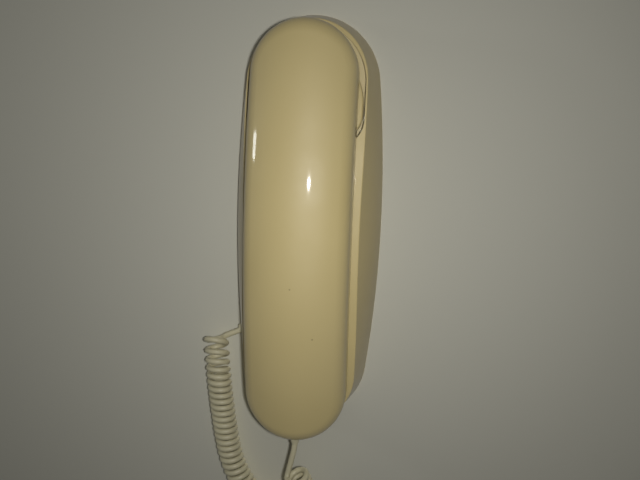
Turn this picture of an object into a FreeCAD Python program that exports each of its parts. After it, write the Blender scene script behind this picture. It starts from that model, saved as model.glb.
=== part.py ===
"""A slim wall telephone: boat-shaped base, full-length handset with keys inside, curly cord.

Millimetres. The wall is the plane Y = 0, +Z is up and the front faces -Y, so a depth below is
a distance out from the wall. The origin is the middle of the two wall screws.
"""
import FreeCAD
import Part
import math
import os
import Sketcher

Vector = FreeCAD.Vector

SIZES = {
    # Base housing: its outline on the wall, its front rim and its shell
    "base_width": 79.6,
    "base_length": 222.8,
    "base_drop": 108.8,
    "base_top_narrowing": 3.8,
    "base_low_narrowing": 5.0,
    "base_depth": 30.0,
    "base_swell": 1.2,
    "base_wall": 2.2,
    "rim_width": 59.8,
    "rim_reach": 77.8,
    "rim_low_reach": 73.5,
    "rim_top_narrowing": 1.1,
    "rim_low_narrowing": 1.3,
    "rim_arch": 420.0,
    "rim_round": 0.5,
    # Seats in the base's front for the handset
    "deck_drop": 5.5,
    "rim_band": 5.0,
    "ear_seat_depth": 15.0,
    "ear_seat_bottom": 46.5,
    "ear_seat_corner": 14.0,
    "ear_seat_width": 59.6,
    "mouth_seat_depth": 14.0,
    "mouth_seat_diameter": 42.0,
    "mouth_height": 79.0,
    # Rear cover and what it carries
    "cover_thickness": 2.0,
    "cover_fit": 0.7,
    "cover_screw_x": 18.0,
    "cover_screw_inset": 19.0,
    "keyhole_spacing": 83.5,
    "keyhole_entry": 8.0,
    "keyhole_slot": 4.4,
    "keyhole_rise": 8.0,
    "ringer_inset": 42.0,
    "ringer_diameter": 30.0,
    "ringer_can": 6.8,
    "ringer_flange": 1.2,
    "jack_inset": 38.8,
    "jack_width": 15.0,
    "jack_tall": 14.0,
    "jack_deep": 12.5,
    "jack_mouth_width": 10.0,
    "jack_mouth_tall": 7.0,
    "jack_mouth_deep": 11.0,
    "jack_fit": 0.2,
    # Base circuit board and hook switch
    "board_width": 46.0,
    "board_tall": 66.0,
    "board_height": 3.0,
    "board_thickness": 1.6,
    "board_post": 4.0,
    "board_screw_inset": 3.5,
    "post_diameter": 5.0,
    "switch_width": 14.0,
    "switch_tall": 12.0,
    "switch_deep": 5.0,
    "plunger_height": 24.0,
    "plunger_diameter": 7.0,
    "plunger_rod": 4.0,
    "plunger_flange": 8.4,
    "plunger_flange_thickness": 1.5,
    "plunger_fit": 0.3,
    "plunger_gap": 0.3,
    "spring_wire": 0.6,
    "spring_room": 4.4,
    # Hook that carries the handset: rise is millimetres up for each millimetre out
    "hook_height": 38.0,
    "hook_width": 12.0,
    "hook_thickness": 2.6,
    "hook_rise": 0.364,
    "hook_reach": 9.7,
    "hook_foot": 1.5,
    "hook_fit": 0.35,
    # Handset shells
    "handset_width": 52.8,
    "handset_length": 215.0,
    "handset_gap": 1.0,
    "handset_height": 26.0,
    "skirt_drop": 15.0,
    "handset_wall": 2.4,
    "crown_across": 42.0,
    "crown_along": 360.0,
    "crown_round": 10.5,
    "shell_fit": 0.2,
    "face_thickness": 2.0,
    "ear_centre": 68.0,
    "ear_gap": 0.7,
    "ear_bottom_gap": 3.0,
    "ear_floor_gap": 1.5,
    "ear_shoulder": 1.4,
    "ear_round": 1.2,
    "mouth_gap": 2.5,
    "mouth_floor_gap": 2.0,
    "handset_screw_z": 34.0,
    "handset_boss": 7.5,
    # Sound parts
    "receiver_diameter": 36.0,
    "receiver_deep": 9.0,
    "gasket_thickness": 0.8,
    "gasket_width": 4.0,
    "sound_hole": 1.8,
    "sound_ring": 5.5,
    "microphone_diameter": 9.7,
    "microphone_deep": 5.0,
    "boot_wall": 1.6,
    "boot_deep": 7.0,
    # Keypad
    "keypad_height": -8.0,
    "key_column": 14.5,
    "key_row": 11.5,
    "key_width": 10.5,
    "key_tall": 7.5,
    "key_corner": 1.8,
    "key_stand": 1.6,
    "key_fit": 0.3,
    "key_lip": 0.8,
    "key_flange": 1.0,
    "key_seat_gap": 0.1,
    "key_travel": 1.2,
    "keypad_post": 4.5,
    "keypad_board_width": 46.0,
    "keypad_board_tall": 62.0,
    "mat_thickness": 0.8,
    "dome_diameter": 6.0,
    # Screws
    "screw_shank": 2.8,
    "screw_head": 5.6,
    "screw_head_deep": 1.1,
    "screw_long": 8.0,
    "board_screw_shank": 2.0,
    "board_screw_head": 4.0,
    "board_screw_long": 3.5,
    "screw_fit": 0.1,
    # Curly cord and its strain reliefs
    "cord_wire": 3.0,
    "cord_coil": 14.2,
    "cord_pitch": 3.44,
    "cord_stretch": 3.2,
    "cord_stretch_fade": 13.0,
    "cord_exit_z": -57.5,
    "cord_exit_depth": 8.0,
    "cord_exit_inset": 2.4,
    "relief_diameter": 6.4,
    "relief_flange": 9.0,
    "relief_flange_thickness": 1.4,
    "boot_drop": 2.0,
    "boot_reach": 5.0,
    "boot_tip": 3.8,
}

# Degrees that the cord slopes down where it leaves the base
CORD_TILT = 28

doc = FreeCAD.newDocument("wall_telephone")
sheet = doc.addObject("Spreadsheet::Sheet", "sizes")
for row, (name, number) in enumerate(SIZES.items(), start=1):
    sheet.set(f"A{row}", name)
    sheet.set(f"B{row}", str(number))
    sheet.setAlias(f"B{row}", name)
doc.recompute()


class Size:
    """A length together with the formula on the sheet that gives it."""

    def __init__(self, value, formula):
        self.value = value
        self.formula = formula

    def __add__(self, other):
        return Size(self.value + value_of(other), f"({self.formula} + {formula_of(other)})")

    def __sub__(self, other):
        return Size(self.value - value_of(other), f"({self.formula} - {formula_of(other)})")

    def __mul__(self, other):
        return Size(self.value * value_of(other), f"({self.formula} * {formula_of(other)})")

    def __truediv__(self, other):
        return Size(self.value / value_of(other), f"({self.formula} / {formula_of(other)})")

    def __neg__(self):
        return Size(-self.value, f"(-1 * {self.formula})")


def value_of(size):
    return size.value if isinstance(size, Size) else float(size)


def formula_of(size):
    return size.formula if isinstance(size, Size) else f"({size})"


class SheetSizes:
    """Sizes by name, read from the sheet."""

    def __getattr__(self, name):
        return Size(float(sheet.get(name)), f"sizes.{name}")


mm = SheetSizes()
pieces = []

# Levels out from the wall, and places that several pieces share
deck_floor = mm.base_depth - mm.deck_drop
ear_floor = mm.base_depth - mm.ear_seat_depth
mouth_floor = mm.base_depth - mm.mouth_seat_depth
inner_ceiling = ear_floor - mm.base_wall
base_top = mm.base_length - mm.base_drop
base_top_radius = mm.base_width / 2 - mm.base_top_narrowing
base_low_radius = mm.base_width / 2 - mm.base_low_narrowing
rim_top_radius = mm.rim_width / 2 - mm.rim_top_narrowing
rim_low_radius = mm.rim_width / 2 - mm.rim_low_narrowing
belly = mm.base_depth / 2
belly_width = (mm.base_width + mm.rim_width) / 2 + mm.base_swell * 2
skirt = mm.base_depth + mm.handset_gap
face_top = skirt + mm.face_thickness
skirt_arch = mm.rim_arch + mm.handset_gap
ear_arch = skirt_arch - mm.ear_shoulder
board_under = mm.cover_thickness + mm.board_post
board_top = board_under + mm.board_thickness
switch_top = board_top + mm.switch_deep
keypad_board_under = face_top + mm.keypad_post
key_flange_top = face_top + mm.key_seat_gap + mm.key_flange
boot_level = skirt - mm.boot_drop
side_lean = (mm.base_width - belly_width) / 2 / belly
relief_x = mm.base_width / 2 - side_lean * mm.cord_exit_depth - mm.cord_exit_inset
cord_leaves = Vector(-math.cos(math.radians(CORD_TILT)), 0, -math.sin(math.radians(CORD_TILT)))
face_inset = mm.handset_wall + mm.shell_fit
screw_pilot = mm.screw_shank + mm.screw_fit * 2
board_screw_pilot = mm.board_screw_shank + mm.screw_fit * 2
cover_screw_heights = (base_top - mm.cover_screw_inset, mm.cover_screw_inset - mm.base_drop)
ringer_height = base_top - mm.ringer_inset
jack_height = mm.base_drop - mm.jack_inset
receiver_z = mm.ear_centre + mm.face_thickness
cover_screws = [(mm.cover_screw_x * i, height) for i in (-1, 1) for height in cover_screw_heights]
board_screw_x = mm.board_width / 2 - mm.board_screw_inset
board_screw_z = mm.board_tall / 2 - mm.board_screw_inset
board_screws = [(board_screw_x * i, mm.board_height + board_screw_z * j) for i in (-1, 1) for j in (-1, 1)]
keypad_middle = mm.keypad_height - mm.key_flange * 2
keypad_screw_x = mm.keypad_board_width / 2 - mm.board_screw_inset
keypad_screw_z = mm.keypad_board_tall / 2 - mm.board_screw_inset
keypad_screws = [(keypad_screw_x * i, keypad_middle + keypad_screw_z * j) for i in (-1, 1) for j in (-1, 1)]
handset_screws = [(0, mm.handset_screw_z), (0, -mm.handset_screw_z - mm.handset_boss * 2)]
keys = {}
for row, names in enumerate((("1", "2", "3"), ("4", "5", "6"), ("7", "8", "9"), ("star", "0", "hash"))):
    for column, name in enumerate(names):
        keys[name] = (mm.key_column * (1 - column), mm.keypad_height + mm.key_row * (1.5 - row))


def bind(thing, property_name, size):
    """Ties a property to the sheet."""
    thing.setExpression(property_name, formula_of(size))


def new_body(name):
    body = doc.addObject("PartDesign::Body", name)
    body.Label = name
    return body


def keep(thing, name):
    """Makes a finished shape one of the telephone's pieces."""
    thing.Label = name
    pieces.append(thing)
    return thing


def new_sketch(body, depth=0, plane="XZ_Plane"):
    """A sketch on one of the body's origin planes; the XZ plane looks at the wall."""
    sketch = body.newObject("Sketcher::SketchObject", "outline")
    origin = [part for part in body.Origin.OriginFeatures if part.Role == plane][0]
    sketch.AttachmentSupport = [(origin, "")]
    sketch.MapMode = "FlatFace"
    bind(sketch, "AttachmentOffset.Base.z", depth)
    return sketch


def dimension(sketch, kind, place, size):
    index = sketch.addConstraint(Sketcher.Constraint(kind, *place, value_of(size)))
    sketch.setExpression(f"Constraints[{index}]", formula_of(size))


def place_point(sketch, shape, point, x, z):
    """Holds a point of a sketch at x, z; a plain zero holds it on the axis."""
    for kind, axis, size in (("DistanceX", -2, x), ("DistanceY", -1, z)):
        if isinstance(size, Size):
            dimension(sketch, kind, (-1, 1, shape, point), size)
        else:
            sketch.addConstraint(Sketcher.Constraint("PointOnObject", shape, point, axis))


def circle(sketch, diameter, x, z):
    middle = Vector(value_of(x), value_of(z), 0)
    shape = sketch.addGeometry(Part.Circle(middle, Vector(0, 0, 1), value_of(diameter) / 2))
    dimension(sketch, "Diameter", (shape,), diameter)
    place_point(sketch, shape, 3, x, z)


def polygon(sketch, corners):
    """A closed outline of straight sides."""
    spots = [Vector(value_of(x), value_of(z), 0) for x, z in corners]
    sides = []
    for i, spot in enumerate(spots):
        sides.append(sketch.addGeometry(Part.LineSegment(spot, spots[(i + 1) % len(spots)])))
    for i, side in enumerate(sides):
        sketch.addConstraint(Sketcher.Constraint("Coincident", side, 2, sides[(i + 1) % len(sides)], 1))
        place_point(sketch, side, 1, *corners[i])


def box(sketch, width, tall, x, z):
    left = x - width / 2 if isinstance(x, Size) else -(width / 2)
    right = x + width / 2 if isinstance(x, Size) else width / 2
    polygon(sketch, [(left, z - tall / 2), (right, z - tall / 2), (right, z + tall / 2), (left, z + tall / 2)])


def arc(sketch, x, z, radius, start, end):
    ring = Part.Circle(Vector(x, z, 0), Vector(0, 0, 1), radius)
    return sketch.addGeometry(Part.ArcOfCircle(ring, start, end))


def line(sketch, x1, z1, x2, z2):
    return sketch.addGeometry(Part.LineSegment(Vector(x1, z1, 0), Vector(x2, z2, 0)))


def join_smoothly(sketch, shapes, backward=()):
    """Makes each shape run on into the next in one direction; backward ones are drawn end first."""
    for i, shape in enumerate(shapes):
        following = shapes[(i + 1) % len(shapes)]
        leaves = 1 if shape in backward else 2
        meets = 2 if following in backward else 1
        sketch.addConstraint(Sketcher.Constraint("Tangent", shape, leaves, following, meets))


def stadium(sketch, width, length, z=0):
    """Straight sides with half-round ends, upright."""
    radius = width / 2
    reach = (length - width) / 2
    r = radius.value
    top = value_of(z) + reach.value
    low = value_of(z) - reach.value
    shapes = [
        line(sketch, r, low, r, top),
        arc(sketch, 0, top, r, 0, math.pi),
        line(sketch, -r, top, -r, low),
        arc(sketch, 0, low, r, math.pi, 2 * math.pi),
    ]
    join_smoothly(sketch, shapes)
    for shape, end in ((shapes[1], reach), (shapes[3], -reach)):
        dimension(sketch, "Radius", (shape,), radius)
        place_point(sketch, shape, 3, 0, end + z)


def long_outline(sketch, width, top, low, top_radius, low_radius):
    """Round ends joined by long curved sides, upright: bowed out or drawn in, as the width asks."""
    high = top - top_radius
    deep = low_radius - low
    mean = (top_radius + low_radius) / 2
    reach = (high - deep) / 2
    bow = (reach * reach + width * width / 4 - mean * mean) / (width - mean * 2)
    r = bow.value
    r1 = top_radius.value
    r2 = low_radius.value
    z1 = high.value
    z2 = deep.value
    middle = (z1 + z2) / 2 + (r1 - r2) * (2 * r - r1 - r2) / (2 * (z1 - z2))
    across = math.sqrt((r - r1) ** 2 - (z1 - middle) ** 2)
    up = math.atan2(z1 - middle, across)
    down = math.atan2(middle - z2, across)
    if r > 0:
        right = arc(sketch, -across, middle, r, -down, up)
        upper = arc(sketch, 0, z1, r1, up, math.pi - up)
        left = arc(sketch, across, middle, r, math.pi - up, math.pi + down)
        lower = arc(sketch, 0, z2, r2, math.pi + down, 2 * math.pi - down)
        join_smoothly(sketch, (right, upper, left, lower))
        side_radius = bow
    else:
        right = arc(sketch, across, middle, -r, math.pi - up, math.pi + down)
        upper = arc(sketch, 0, z1, r1, -up, math.pi + up)
        left = arc(sketch, -across, middle, -r, -down, up)
        lower = arc(sketch, 0, z2, r2, math.pi - down, 2 * math.pi + down)
        join_smoothly(sketch, (right, upper, left, lower), (right, left))
        side_radius = -bow
    for shape, radius, centre in ((upper, top_radius, high), (lower, low_radius, deep)):
        dimension(sketch, "Radius", (shape,), radius)
        place_point(sketch, shape, 3, 0, centre)
    for shape in (right, left):
        dimension(sketch, "Radius", (shape,), side_radius)


def arch(sketch, width, centre, bottom, corner):
    """A half-round top over straight sides, with rounded lower corners."""
    r = width.value / 2
    c = corner.value
    low = bottom.value
    shapes = [
        line(sketch, r, low + c, r, centre.value),
        arc(sketch, 0, centre.value, r, 0, math.pi),
        line(sketch, -r, centre.value, -r, low + c),
        arc(sketch, c - r, low + c, c, math.pi, 1.5 * math.pi),
        line(sketch, c - r, low, r - c, low),
        arc(sketch, r - c, low + c, c, 1.5 * math.pi, 2 * math.pi),
    ]
    join_smoothly(sketch, shapes)
    dimension(sketch, "Radius", (shapes[1],), width / 2)
    place_point(sketch, shapes[1], 3, 0, centre)
    for shape in (shapes[3], shapes[5]):
        dimension(sketch, "Radius", (shape,), corner)
    for shape in (shapes[0], shapes[2]):
        sketch.addConstraint(Sketcher.Constraint("Vertical", shape))
    sketch.addConstraint(Sketcher.Constraint("Horizontal", shapes[4]))
    dimension(sketch, "DistanceY", (-1, 1, shapes[4], 1), bottom)


def rounded_box(sketch, width, tall, corner, x, z):
    """A box with four rounded corners."""
    left = value_of(x) - width.value / 2
    right = value_of(x) + width.value / 2
    low = value_of(z) - tall.value / 2
    top = value_of(z) + tall.value / 2
    c = corner.value
    shapes = [
        line(sketch, right, low + c, right, top - c),
        arc(sketch, right - c, top - c, c, 0, 0.5 * math.pi),
        line(sketch, right - c, top, left + c, top),
        arc(sketch, left + c, top - c, c, 0.5 * math.pi, math.pi),
        line(sketch, left, top - c, left, low + c),
        arc(sketch, left + c, low + c, c, math.pi, 1.5 * math.pi),
        line(sketch, left + c, low, right - c, low),
        arc(sketch, right - c, low + c, c, 1.5 * math.pi, 2 * math.pi),
    ]
    join_smoothly(sketch, shapes)
    for shape in (shapes[1], shapes[3], shapes[5], shapes[7]):
        dimension(sketch, "Radius", (shape,), corner)
    x_high = width / 2 - corner
    z_high = tall / 2 - corner
    x_high = x + x_high if isinstance(x, Size) else x_high
    x_low = x - (width / 2 - corner) if isinstance(x, Size) else -x_high
    place_point(sketch, shapes[1], 3, x_high, z + z_high)
    place_point(sketch, shapes[5], 3, x_low, z - z_high)
    for shape in (shapes[0], shapes[4]):
        sketch.addConstraint(Sketcher.Constraint("Vertical", shape))
    for shape in (shapes[2], shapes[6]):
        sketch.addConstraint(Sketcher.Constraint("Horizontal", shape))


def extrude(body, kind, sketch, length, outward=True, taper=0, middle=False):
    """A pad or a pocket that runs out from the wall or in towards it."""
    feature = body.newObject(f"PartDesign::{kind}", kind.lower())
    feature.Profile = sketch
    bind(feature, "Length", length)
    feature.Midplane = middle
    feature.Reversed = outward == (kind == "Pocket")
    feature.TaperAngle = taper
    doc.recompute()
    return feature


def pad(body, sketch, length, outward=True, taper=0, middle=False):
    return extrude(body, "Pad", sketch, length, outward, taper, middle)


def pocket(body, sketch, length, outward=False, taper=0, middle=False):
    """A cut; the solid has to lose volume by it."""
    before = body.Shape.Volume
    feature = extrude(body, "Pocket", sketch, length, outward, taper, middle)
    if feature.Shape.Volume > before - 1e-3:
        raise RuntimeError(f"a pocket in {body.Label} cuts nothing")
    return feature


def discs(body, kind, diameter, places, depth, length, outward, taper=0):
    """Round pads or pockets of one size, side by side."""
    sketch = new_sketch(body, depth)
    for x, z in places:
        circle(sketch, diameter, x, z)
    make = pad if kind == "Pad" else pocket
    return make(body, sketch, length, outward, taper)


def round_edges(body, radius, wanted):
    """Rounds the edges of the body's last shape for which wanted(edge) is true."""
    base = body.Tip
    names = [f"Edge{i}" for i, edge in enumerate(base.Shape.Edges, start=1) if wanted(edge)]
    fillet = body.newObject("PartDesign::Fillet", "fillet")
    fillet.Base = (base, names)
    bind(fillet, "Radius", radius)
    doc.recompute()


def edge_depths(edge):
    return [-point.y for point in edge.discretize(Number=9)]


def arch_cut(body, radius, half, edge):
    """Cuts the body right across between an arc that bows out from the wall and a straight edge."""
    centre = mm.rim_arch - mm.base_depth
    turn = math.asin(half.value / radius.value)
    end = centre.value - radius.value * math.cos(turn)
    h = half.value
    e = edge.value
    sketch = new_sketch(body, 0, "YZ_Plane")
    bow = arc(sketch, centre.value, 0, radius.value, math.pi - turn, math.pi + turn)
    sides = [line(sketch, end, -h, e, -h), line(sketch, e, -h, e, h), line(sketch, e, h, end, h)]
    loop = [bow] + sides
    for i, shape in enumerate(loop):
        sketch.addConstraint(Sketcher.Constraint("Coincident", shape, 2, loop[(i + 1) % 4], 1))
    dimension(sketch, "Radius", (bow,), radius)
    place_point(sketch, bow, 3, centre, 0)
    place_point(sketch, sides[1], 1, edge, -half)
    place_point(sketch, sides[1], 2, edge, half)
    for side in (sides[0], sides[2]):
        sketch.addConstraint(Sketcher.Constraint("Horizontal", side))
    pocket(body, sketch, mm.base_width * 1.2, middle=True)


def on_arch(edge, radius):
    """Whether an edge lies on an arched cut of this radius."""
    centre = (mm.rim_arch - mm.base_depth).value
    reaches = [math.hypot(point.y - centre, point.z) for point in edge.discretize(Number=9)]
    return max(abs(reach - radius.value) for reach in reaches) < 1e-3


def drawn_in(sizes, inset):
    """The sizes of a long outline that runs inside another by inset."""
    return [sizes[0] - inset * 2] + [size - inset for size in sizes[1:]]


def make_base_housing():
    """The flared shell: a loft from the wall outline to the rim, hollow, with the handset's seats."""
    body = new_body("base_housing")
    rim_top = mm.rim_reach + rim_top_radius
    rim_low = mm.rim_low_reach + rim_low_radius
    wall_sizes = (mm.base_width, base_top, mm.base_drop, base_top_radius, base_low_radius)
    rim_sizes = (mm.rim_width, rim_top, rim_low, rim_top_radius, rim_low_radius)
    belly_sizes = [belly_width] + [(a + b) / 2 for a, b in zip(wall_sizes[1:], rim_sizes[1:])]
    wall_outline = new_sketch(body, 0)
    long_outline(wall_outline, *wall_sizes)
    belly_outline = new_sketch(body, belly)
    long_outline(belly_outline, *belly_sizes)
    rim_outline = new_sketch(body, mm.base_depth)
    long_outline(rim_outline, *rim_sizes)
    hull = body.newObject("PartDesign::AdditiveLoft", "hull")
    hull.Profile = wall_outline
    hull.Sections = [belly_outline, rim_outline]
    doc.recompute()
    arch_cut(body, mm.rim_arch, base_top + mm.base_wall, -mm.base_depth - mm.deck_drop)
    round_edges(body, mm.rim_round, lambda edge: on_arch(edge, mm.rim_arch))

    def inner_section(depth):
        share = depth / belly
        section = new_sketch(body, depth)
        sizes = [a + (b - a) * share for a, b in zip(wall_sizes, belly_sizes)]
        long_outline(section, *drawn_in(sizes, mm.base_wall))
        return section

    mouth = inner_section(-mm.base_wall)
    ceiling = inner_section(inner_ceiling)
    hollow = body.newObject("PartDesign::SubtractiveLoft", "hollow")
    hollow.Profile = mouth
    hollow.Sections = [ceiling]
    hollow.Ruled = True
    doc.recompute()

    # Rooms above the ceiling: one under the deck, one under the mouth seat
    room_width = mm.rim_width - mm.base_wall * 2 - mm.rim_band
    deck_room_top = mm.ear_seat_bottom - mm.base_wall
    deck_room_low = mm.mouth_seat_diameter / 2 + mm.base_wall - mm.mouth_height
    deck_room = new_sketch(body, inner_ceiling)
    polygon(deck_room, [(-room_width / 2, deck_room_low), (room_width / 2, deck_room_low),
                        (room_width / 2, deck_room_top), (-room_width / 2, deck_room_top)])
    pocket(body, deck_room, deck_floor - mm.base_wall - inner_ceiling, outward=True)
    discs(body, "Pocket", mm.mouth_seat_diameter - mm.base_wall, [(0, -mm.mouth_height)], inner_ceiling,
          mouth_floor - mm.base_wall - inner_ceiling, outward=True)

    deck = new_sketch(body, mm.base_depth)
    deck_width = mm.rim_width - mm.rim_band * 2
    stadium(deck, deck_width, mm.rim_reach * 2 + deck_width)
    pocket(body, deck, mm.deck_drop)
    ear_seat = new_sketch(body, mm.base_depth)
    arch(ear_seat, mm.ear_seat_width, mm.rim_reach, mm.ear_seat_bottom, mm.ear_seat_corner)
    pocket(body, ear_seat, mm.ear_seat_depth)
    discs(body, "Pocket", mm.mouth_seat_diameter, [(0, -mm.mouth_height)], mm.base_depth,
          mm.mouth_seat_depth, outward=False)
    discs(body, "Pocket", mm.plunger_diameter + mm.plunger_fit * 2, [(0, mm.plunger_height)], mm.base_depth,
          mm.deck_drop + mm.base_wall * 2, outward=False)

    boss_length = inner_ceiling - mm.cover_thickness
    discs(body, "Pad", mm.handset_boss, cover_screws, mm.cover_thickness, boss_length + mm.base_wall / 2, True)
    discs(body, "Pocket", screw_pilot, cover_screws, mm.cover_thickness, boss_length, outward=True)

    cord_hole = exit_sketch(body, mm.base_wall * 4)
    circle(cord_hole, mm.relief_diameter + mm.shell_fit * 2, 0, 0)
    pocket(body, cord_hole, mm.base_width)
    return keep(body, "base_housing")


def exit_sketch(body, back):
    """A sketch square to the cord where it leaves the base, moved back along the cord's line."""
    sketch = new_sketch(body, -relief_x - back * cord_leaves.x, "YZ_Plane")
    sketch.AttachmentOffset = FreeCAD.Placement(Vector(), FreeCAD.Rotation(Vector(1, 0, 0), -CORD_TILT))
    bind(sketch, "AttachmentOffset.Base.x", -mm.cord_exit_depth)
    bind(sketch, "AttachmentOffset.Base.y", mm.cord_exit_z - back * cord_leaves.z)
    return sketch


def make_rear_cover():
    """The flat back that hangs on two wall screws and carries the base's inner pieces."""
    body = new_body("rear_cover")
    inset = mm.base_wall + mm.cover_fit
    plate = new_sketch(body, 0)
    wall_sizes = (mm.base_width, base_top, mm.base_drop, base_top_radius, base_low_radius)
    long_outline(plate, *drawn_in(wall_sizes, inset))
    pad(body, plate, mm.cover_thickness)
    discs(body, "Pad", mm.post_diameter, board_screws, mm.cover_thickness, mm.board_post, True)
    discs(body, "Pocket", board_screw_pilot, board_screws, board_under, mm.board_post, False)
    discs(body, "Pocket", screw_pilot + mm.screw_fit * 4, cover_screws, 0, mm.cover_thickness, True)
    discs(body, "Pocket", mm.screw_head + mm.screw_fit * 4, cover_screws, 0,
          mm.screw_head_deep + mm.screw_fit, True)

    hangers = [mm.keyhole_spacing / 2, -(mm.keyhole_spacing / 2)]
    discs(body, "Pocket", mm.keyhole_entry, [(0, z) for z in hangers], 0, mm.cover_thickness, True)
    slots = new_sketch(body, 0)
    for z in hangers:
        stadium(slots, mm.keyhole_slot, mm.keyhole_rise + mm.keyhole_slot, z + mm.keyhole_rise / 2)
    pocket(body, slots, mm.cover_thickness, outward=True)

    opening = new_sketch(body, 0)
    box(opening, mm.jack_width + mm.jack_fit * 2, mm.jack_tall + mm.jack_fit * 2, 0, -jack_height)
    pocket(body, opening, mm.cover_thickness, outward=True)
    grille = new_sketch(body, 0)
    for i in range(-2, 3):
        slit = mm.sound_hole
        stretch = mm.ringer_diameter / 2
        x = slit * (2.2 * i) if i else 0
        if i:
            polygon(grille, [(x - slit / 2, ringer_height - stretch / 2),
                             (x + slit / 2, ringer_height - stretch / 2),
                             (x + slit / 2, ringer_height + stretch / 2),
                             (x - slit / 2, ringer_height + stretch / 2)])
        else:
            box(grille, slit, stretch, 0, ringer_height)
    pocket(body, grille, mm.cover_thickness, outward=True)
    return keep(body, "rear_cover")


def make_screws(label, places, head, head_deep, head_depth, shank, shank_long, outward):
    """A set of like screws: heads, and shanks that run on from them."""
    body = new_body(label)
    discs(body, "Pad", head, places, head_depth, head_deep, outward)
    start = head_depth + head_deep if outward else head_depth - head_deep
    discs(body, "Pad", shank, places, start, shank_long, outward)
    return keep(body, label)


def make_handset_hook():
    """The tongue on the base's deck that the handset hangs on; it leans the way the handset lifts."""
    body = new_body("handset_hook")
    foot_tall = mm.hook_thickness * 3
    foot = new_sketch(body, deck_floor)
    rounded_box(foot, mm.hook_width + mm.hook_foot * 2, foot_tall, mm.hook_foot, 0,
                mm.hook_height + mm.hook_thickness / 2)
    pad(body, foot, mm.hook_foot)
    tongue = new_sketch(body, 0, "YZ_Plane")
    polygon(tongue, hook_corners(deck_floor, deck_floor + mm.hook_reach, 0))
    pad(body, tongue, mm.hook_width, middle=True)
    return keep(body, "handset_hook")


def hook_corners(near, far, room):
    """The leaning side of the hook between two depths, with room all round it."""
    def low(depth):
        return mm.hook_height + mm.hook_rise * (depth - deck_floor) - room

    def high(depth):
        return mm.hook_height + mm.hook_rise * (depth - deck_floor) + mm.hook_thickness + room

    return [(-near, low(near)), (-far, low(far)), (-far, high(far)), (-near, high(near))]


def make_base_board():
    """The circuit board on the rear cover's posts."""
    body = new_body("base_board")
    plate = new_sketch(body, board_under)
    box(plate, mm.board_width, mm.board_tall, 0, mm.board_height)
    pad(body, plate, mm.board_thickness)
    discs(body, "Pocket", board_screw_pilot, board_screws, board_under, mm.board_thickness, True)
    return keep(body, "base_board")


def make_hook_switch():
    """The switch block on the board, with a well for the plunger's rod."""
    body = new_body("hook_switch")
    block = new_sketch(body, board_top)
    rounded_box(block, mm.switch_width, mm.switch_tall, mm.key_corner, 0, mm.plunger_height)
    pad(body, block, mm.switch_deep)
    discs(body, "Pocket", mm.plunger_rod + mm.plunger_fit * 2, [(0, mm.plunger_height)], switch_top,
          mm.switch_deep - mm.plunger_fit, outward=False)
    return keep(body, "hook_switch")


def make_hook_plunger():
    """The button that the handset holds down: rod, collar and round-nosed stem."""
    body = new_body("hook_plunger")
    place = [(0, mm.plunger_height)]
    collar = switch_top + mm.spring_room
    rod_start = board_top + mm.plunger_fit * 3
    discs(body, "Pad", mm.plunger_rod, place, rod_start, collar - rod_start, True)
    discs(body, "Pad", mm.plunger_flange, place, collar, mm.plunger_flange_thickness, True)
    stem = collar + mm.plunger_flange_thickness
    tip = skirt - mm.plunger_gap
    discs(body, "Pad", mm.plunger_diameter, place, stem, tip - stem, True)
    round_edges(body, mm.plunger_diameter / 4, lambda edge: min(edge_depths(edge)) > tip.value - 0.01)
    return keep(body, "hook_plunger")


def make_ringer():
    """The sounder can on the rear cover, with its flange and sound hole."""
    body = new_body("ringer")
    place = [(0, ringer_height)]
    top = mm.cover_thickness + mm.ringer_flange + mm.ringer_can
    discs(body, "Pad", mm.ringer_diameter + mm.ringer_flange * 3, place, mm.cover_thickness,
          mm.ringer_flange, True)
    discs(body, "Pad", mm.ringer_diameter, place, mm.cover_thickness + mm.ringer_flange, mm.ringer_can, True)
    discs(body, "Pocket", mm.sound_hole * 2, place, top, mm.ringer_can / 2, False)
    return keep(body, "ringer")


def make_line_jack():
    """The socket for the line, open to the wall, held by a flange inside the cover."""
    body = new_body("line_jack")
    block = new_sketch(body, mm.jack_fit)
    box(block, mm.jack_width, mm.jack_tall, 0, -jack_height)
    pad(body, block, mm.jack_deep - mm.jack_fit)
    flange = new_sketch(body, mm.cover_thickness)
    rounded_box(flange, mm.jack_width + mm.base_wall * 2, mm.jack_tall + mm.base_wall * 2, mm.hook_foot, 0,
                -jack_height)
    pad(body, flange, mm.ringer_flange)
    mouth = new_sketch(body, mm.jack_fit)
    box(mouth, mm.jack_mouth_width, mm.jack_mouth_tall, 0, -jack_height)
    pocket(body, mouth, mm.jack_mouth_deep, outward=True)
    notch_width = mm.jack_mouth_width * 0.6
    notch_low = -jack_height - mm.jack_mouth_tall / 2 - mm.base_wall
    notch = new_sketch(body, mm.jack_fit)
    polygon(notch, [(-notch_width / 2, notch_low), (notch_width / 2, notch_low),
                    (notch_width / 2, -jack_height), (-notch_width / 2, -jack_height)])
    pocket(body, notch, mm.jack_mouth_deep / 2, outward=True)
    return keep(body, "line_jack")


def make_base_strain_relief():
    """The bush in the base's left side that the cord leaves by, sloping down."""
    body = new_body("base_strain_relief")
    back = mm.base_wall * 2.8 + mm.relief_flange * side_lean * 0.35
    flange = exit_sketch(body, back)
    circle(flange, mm.relief_flange, 0, 0)
    pad(body, flange, mm.relief_flange_thickness)
    neck = exit_sketch(body, back)
    circle(neck, mm.relief_diameter, 0, 0)
    pad(body, neck, back, outward=False)
    return keep(body, "base_strain_relief")


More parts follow.
